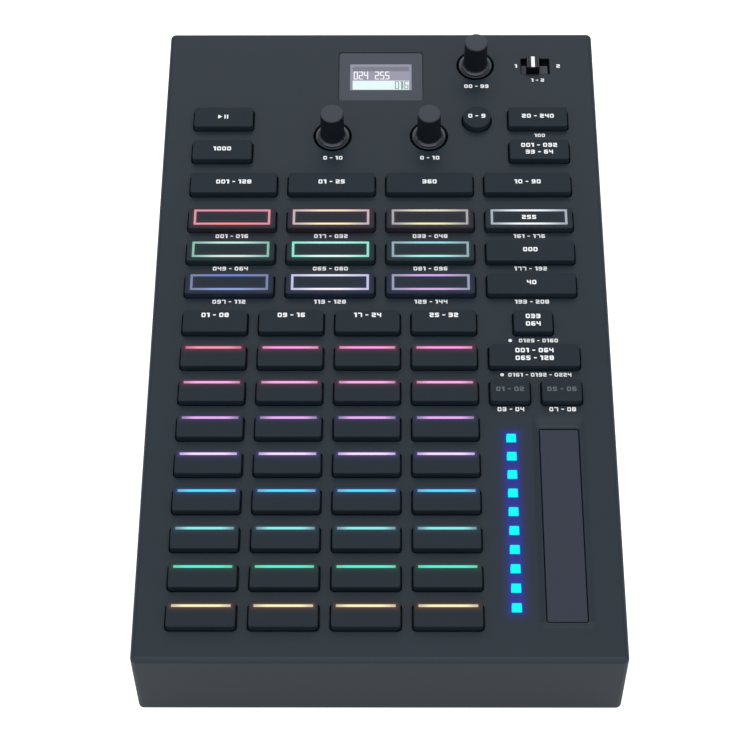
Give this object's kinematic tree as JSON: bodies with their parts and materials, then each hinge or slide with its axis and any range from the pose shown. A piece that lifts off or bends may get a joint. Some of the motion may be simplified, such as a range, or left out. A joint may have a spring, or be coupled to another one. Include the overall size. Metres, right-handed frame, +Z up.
{
  "type": "dmx lighting controller",
  "caption": "Flat table-top lighting controller with backlit pads and keys, three rotary knobs, a small display, a touch strip with level lights, a slide switch and rear sockets.",
  "frame": {"origin": "under the middle of the case, on the surface that the rubber feet rest on", "axes": "+X to the user's right, +Y away from the user towards the rear sockets, +Z up out of the control panel"},
  "size_m": [0.201, 0.3336, 0.0658],
  "materials": {
    "case_plastic": "dark slate grey, fine satin texture",
    "key_plastic": "near black, soft satin",
    "knob_plastic": "black, soft touch, glossier skirt",
    "window_plastic": "smoked grey, glossy",
    "strip_plastic": "dark grey, smooth",
    "light_plastic": "clear light guide, lit cyan",
    "switch_plastic": "black",
    "board_laminate": "circuit board",
    "plate_steel": "black powder coat",
    "bright_steel": "plated",
    "foot_rubber": "matt black"
  },
  "bodies": {
    "root": {"top_case": "case_plastic", "base_plate": "plate_steel", "case_screw_front_left": "bright_steel", "case_screw_front_right": "bright_steel", "case_screw_rear_left": "bright_steel", "case_screw_rear_right": "bright_steel", "foot_front_left": "foot_rubber", "foot_front_right": "foot_rubber", "foot_rear_left": "foot_rubber", "foot_rear_right": "foot_rubber", "select_encoder": "switch_plastic", "speed_encoder": "switch_plastic", "color_encoder": "switch_plastic", "display_window": "window_plastic", "display_module": "switch_plastic", "touch_strip": "strip_plastic", "level_light_guide": "light_plastic", "usb_switch_body": "switch_plastic", "main_board": "board_laminate", "socket_board": "board_laminate", "dmx_socket_1": "switch_plastic", "dmx_socket_2": "switch_plastic", "usb_socket_1": "bright_steel", "usb_socket_2": "bright_steel"},
    "select_rotor": {"select_rotor": "bright_steel"},
    "select_knob": {"select_knob": "knob_plastic"},
    "speed_knob": {"speed_knob": "knob_plastic"},
    "color_knob": {"color_knob": "knob_plastic"},
    "usb_switch_slider": {"usb_switch_slider": "switch_plastic"},
    "pad_row_1": {"pad_row_1": "key_plastic"},
    "pad_row_2": {"pad_row_2": "key_plastic"},
    "pad_row_3": {"pad_row_3": "key_plastic"},
    "pad_row_4": {"pad_row_4": "key_plastic"},
    "pad_row_5": {"pad_row_5": "key_plastic"},
    "pad_row_6": {"pad_row_6": "key_plastic"},
    "pad_row_7": {"pad_row_7": "key_plastic"},
    "pad_row_8": {"pad_row_8": "key_plastic"},
    "position_row_1": {"position_row_1": "key_plastic"},
    "position_row_2": {"position_row_2": "key_plastic"},
    "position_row_3": {"position_row_3": "key_plastic"},
    "bank_button_1": {"bank_button_1": "key_plastic"},
    "bank_button_2": {"bank_button_2": "key_plastic"},
    "bank_button_3": {"bank_button_3": "key_plastic"},
    "bank_button_4": {"bank_button_4": "key_plastic"},
    "play_pause_button": {"play_pause_button": "key_plastic"},
    "shift_button": {"shift_button": "key_plastic"},
    "tap_tempo_button": {"tap_tempo_button": "key_plastic"},
    "override_button": {"override_button": "key_plastic"},
    "movement_button": {"movement_button": "key_plastic"},
    "strobe_button": {"strobe_button": "key_plastic"},
    "hue_button": {"hue_button": "key_plastic"},
    "smoke_button": {"smoke_button": "key_plastic"},
    "white_button": {"white_button": "key_plastic"},
    "black_button": {"black_button": "key_plastic"},
    "uv_button": {"uv_button": "key_plastic"},
    "auto_loop_button": {"auto_loop_button": "key_plastic"},
    "intensity_button": {"intensity_button": "key_plastic"},
    "group_button_left": {"group_button_left": "key_plastic"},
    "group_button_right": {"group_button_right": "key_plastic"},
    "back_button": {"back_button": "key_plastic"}
  },
  "joints": [
    {"name": "select_knob_push", "type": "slide", "parent": "select_rotor", "child": "select_knob", "axis": [0, 0, -1], "range_m": [0, 0.0015], "stiffness_N_per_m": 500, "springref_m": -0.006},
    {"name": "select_knob_turn", "type": "hinge", "parent": "root", "child": "select_rotor", "pos_m": [0.04466, 0.1465, 0.049], "axis": [0, 0, 1], "continuous": true},
    {"name": "speed_knob_turn", "type": "hinge", "parent": "root", "child": "speed_knob", "pos_m": [-0.02233, 0.1036, 0.049], "axis": [0, 0, 1], "continuous": true},
    {"name": "color_knob_turn", "type": "hinge", "parent": "root", "child": "color_knob", "pos_m": [0.02233, 0.1036, 0.049], "axis": [0, 0, 1], "continuous": true},
    {"name": "usb_switch_slide", "type": "slide", "parent": "root", "child": "usb_switch_slider", "axis": [1, 0, 0], "range_m": [0, 0.0023]},
    {"name": "pad_row_1_press", "type": "slide", "parent": "root", "child": "pad_row_1", "axis": [0, 0, -1], "range_m": [0, 0.0015], "stiffness_N_per_m": 300, "springref_m": -0.003},
    {"name": "pad_row_8_press", "type": "slide", "parent": "root", "child": "pad_row_8", "axis": [0, 0, -1], "range_m": [0, 0.0015], "stiffness_N_per_m": 300, "springref_m": -0.003},
    {"name": "position_row_1_press", "type": "slide", "parent": "root", "child": "position_row_1", "axis": [0, 0, -1], "range_m": [0, 0.0015], "stiffness_N_per_m": 300, "springref_m": -0.003},
    {"name": "back_button_press", "type": "slide", "parent": "root", "child": "back_button", "axis": [0, 0, -1], "range_m": [0, 0.0015], "stiffness_N_per_m": 300, "springref_m": -0.003},
    {"name": "play_pause_button_press", "type": "slide", "parent": "root", "child": "play_pause_button", "axis": [0, 0, -1], "range_m": [0, 0.0015], "stiffness_N_per_m": 300, "springref_m": -0.003},
    {"name": "movement_button_press", "type": "slide", "parent": "root", "child": "movement_button", "axis": [0, 0, -1], "range_m": [0, 0.0015], "stiffness_N_per_m": 300, "springref_m": -0.003},
    {"name": "intensity_button_press", "type": "slide", "parent": "root", "child": "intensity_button", "axis": [0, 0, -1], "range_m": [0, 0.0015], "stiffness_N_per_m": 300, "springref_m": -0.003},
    {"name": "group_button_left_press", "type": "slide", "parent": "root", "child": "group_button_left", "axis": [0, 0, -1], "range_m": [0, 0.0015], "stiffness_N_per_m": 300, "springref_m": -0.003},
    {"name": "group_button_right_press", "type": "slide", "parent": "root", "child": "group_button_right", "axis": [0, 0, -1], "range_m": [0, 0.0015], "stiffness_N_per_m": 300, "springref_m": -0.003},
    {"name": "pad_row_2_press", "type": "slide", "parent": "root", "child": "pad_row_2", "axis": [0, 0, -1], "range_m": [0, 0.0015], "stiffness_N_per_m": 300, "springref_m": -0.003},
    {"name": "pad_row_3_press", "type": "slide", "parent": "root", "child": "pad_row_3", "axis": [0, 0, -1], "range_m": [0, 0.0015], "stiffness_N_per_m": 300, "springref_m": -0.003},
    {"name": "pad_row_4_press", "type": "slide", "parent": "root", "child": "pad_row_4", "axis": [0, 0, -1], "range_m": [0, 0.0015], "stiffness_N_per_m": 300, "springref_m": -0.003},
    {"name": "pad_row_5_press", "type": "slide", "parent": "root", "child": "pad_row_5", "axis": [0, 0, -1], "range_m": [0, 0.0015], "stiffness_N_per_m": 300, "springref_m": -0.003},
    {"name": "pad_row_6_press", "type": "slide", "parent": "root", "child": "pad_row_6", "axis": [0, 0, -1], "range_m": [0, 0.0015], "stiffness_N_per_m": 300, "springref_m": -0.003},
    {"name": "pad_row_7_press", "type": "slide", "parent": "root", "child": "pad_row_7", "axis": [0, 0, -1], "range_m": [0, 0.0015], "stiffness_N_per_m": 300, "springref_m": -0.003},
    {"name": "position_row_2_press", "type": "slide", "parent": "root", "child": "position_row_2", "axis": [0, 0, -1], "range_m": [0, 0.0015], "stiffness_N_per_m": 300, "springref_m": -0.003},
    {"name": "position_row_3_press", "type": "slide", "parent": "root", "child": "position_row_3", "axis": [0, 0, -1], "range_m": [0, 0.0015], "stiffness_N_per_m": 300, "springref_m": -0.003},
    {"name": "bank_button_1_press", "type": "slide", "parent": "root", "child": "bank_button_1", "axis": [0, 0, -1], "range_m": [0, 0.0015], "stiffness_N_per_m": 300, "springref_m": -0.003},
    {"name": "bank_button_2_press", "type": "slide", "parent": "root", "child": "bank_button_2", "axis": [0, 0, -1], "range_m": [0, 0.0015], "stiffness_N_per_m": 300, "springref_m": -0.003},
    {"name": "bank_button_3_press", "type": "slide", "parent": "root", "child": "bank_button_3", "axis": [0, 0, -1], "range_m": [0, 0.0015], "stiffness_N_per_m": 300, "springref_m": -0.003},
    {"name": "bank_button_4_press", "type": "slide", "parent": "root", "child": "bank_button_4", "axis": [0, 0, -1], "range_m": [0, 0.0015], "stiffness_N_per_m": 300, "springref_m": -0.003},
    {"name": "shift_button_press", "type": "slide", "parent": "root", "child": "shift_button", "axis": [0, 0, -1], "range_m": [0, 0.0015], "stiffness_N_per_m": 300, "springref_m": -0.003},
    {"name": "tap_tempo_button_press", "type": "slide", "parent": "root", "child": "tap_tempo_button", "axis": [0, 0, -1], "range_m": [0, 0.0015], "stiffness_N_per_m": 300, "springref_m": -0.003},
    {"name": "override_button_press", "type": "slide", "parent": "root", "child": "override_button", "axis": [0, 0, -1], "range_m": [0, 0.0015], "stiffness_N_per_m": 300, "springref_m": -0.003},
    {"name": "strobe_button_press", "type": "slide", "parent": "root", "child": "strobe_button", "axis": [0, 0, -1], "range_m": [0, 0.0015], "stiffness_N_per_m": 300, "springref_m": -0.003},
    {"name": "hue_button_press", "type": "slide", "parent": "root", "child": "hue_button", "axis": [0, 0, -1], "range_m": [0, 0.0015], "stiffness_N_per_m": 300, "springref_m": -0.003},
    {"name": "smoke_button_press", "type": "slide", "parent": "root", "child": "smoke_button", "axis": [0, 0, -1], "range_m": [0, 0.0015], "stiffness_N_per_m": 300, "springref_m": -0.003},
    {"name": "white_button_press", "type": "slide", "parent": "root", "child": "white_button", "axis": [0, 0, -1], "range_m": [0, 0.0015], "stiffness_N_per_m": 300, "springref_m": -0.003},
    {"name": "black_button_press", "type": "slide", "parent": "root", "child": "black_button", "axis": [0, 0, -1], "range_m": [0, 0.0015], "stiffness_N_per_m": 300, "springref_m": -0.003},
    {"name": "uv_button_press", "type": "slide", "parent": "root", "child": "uv_button", "axis": [0, 0, -1], "range_m": [0, 0.0015], "stiffness_N_per_m": 300, "springref_m": -0.003},
    {"name": "auto_loop_button_press", "type": "slide", "parent": "root", "child": "auto_loop_button", "axis": [0, 0, -1], "range_m": [0, 0.0015], "stiffness_N_per_m": 300, "springref_m": -0.003}
  ]
}
